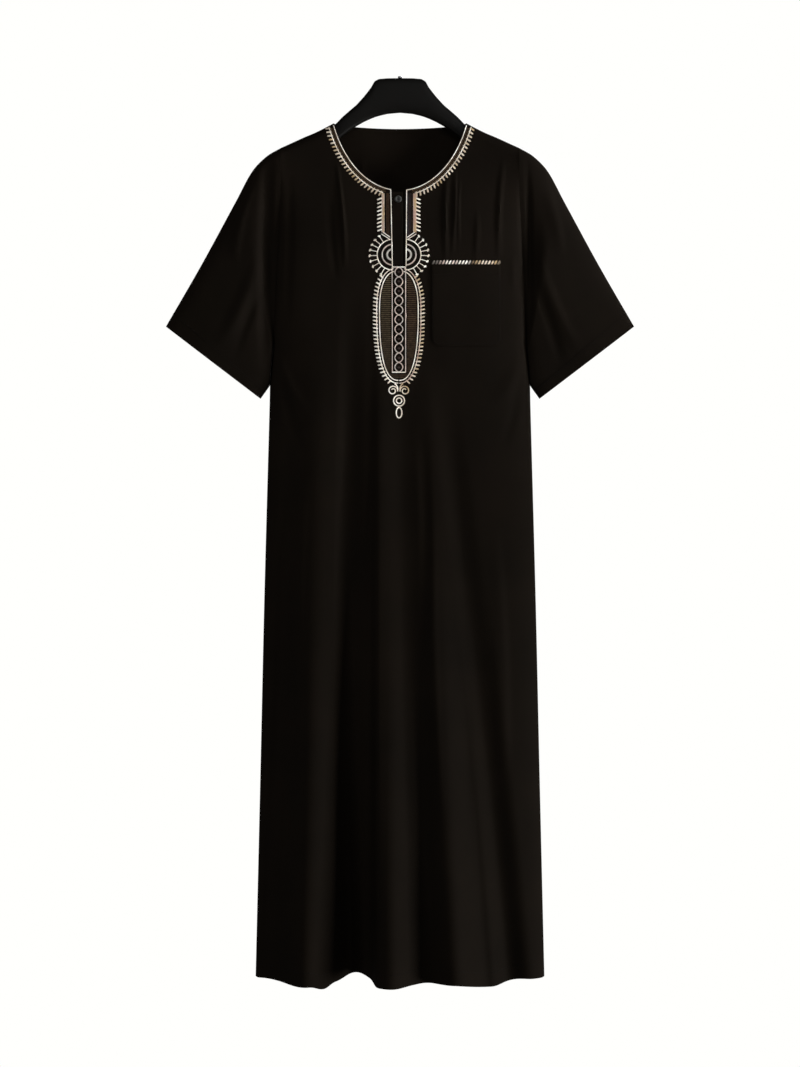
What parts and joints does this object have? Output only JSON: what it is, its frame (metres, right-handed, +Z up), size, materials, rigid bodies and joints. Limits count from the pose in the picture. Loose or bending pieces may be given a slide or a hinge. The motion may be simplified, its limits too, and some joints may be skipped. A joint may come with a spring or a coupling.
{
  "type": "short-sleeved jalabiya on a moulded hanger",
  "caption": "Long straight black robe with short sleeves, an embroidered round neck and chest, a buttoned placket and a patch pocket, hanging on a wide moulded hanger.",
  "frame": {"origin": "the middle of the flat top of the hanger's ferrule, where a hook holds the hanger", "axes": "+Z up along the hook's line, the garment's front faces -Y, its length runs along Z, +X is the side with the chest pocket"},
  "size_m": [0.749, 0.1746, 1.4476],
  "materials": {
    "cloth": "black polyester and cotton, plain woven, matt with a faint sheen",
    "embroidery": "cream and old-gold rayon machine embroidery, satin stitch",
    "button": "black resin, polished",
    "hanger": "moulded black plastic, satin",
    "ferrule": "turned steel"
  },
  "bodies": {
    "root": {"front_panel": "cloth", "back_panel": "cloth", "sleeve_right": "cloth", "sleeve_left": "cloth", "neck_binding_back": "cloth", "placket_under": "cloth", "placket_over": "cloth", "chest_pocket": "cloth", "neck_border_right": "embroidery", "neck_border_left": "embroidery", "sun_right": "embroidery", "sun_left": "embroidery", "oval_border": "embroidery", "ring_column": "embroidery", "pendant": "embroidery", "pocket_trim": "embroidery", "button": "button", "hanger": "hanger", "hanger_ferrule": "ferrule"}
  },
  "joints": []
}
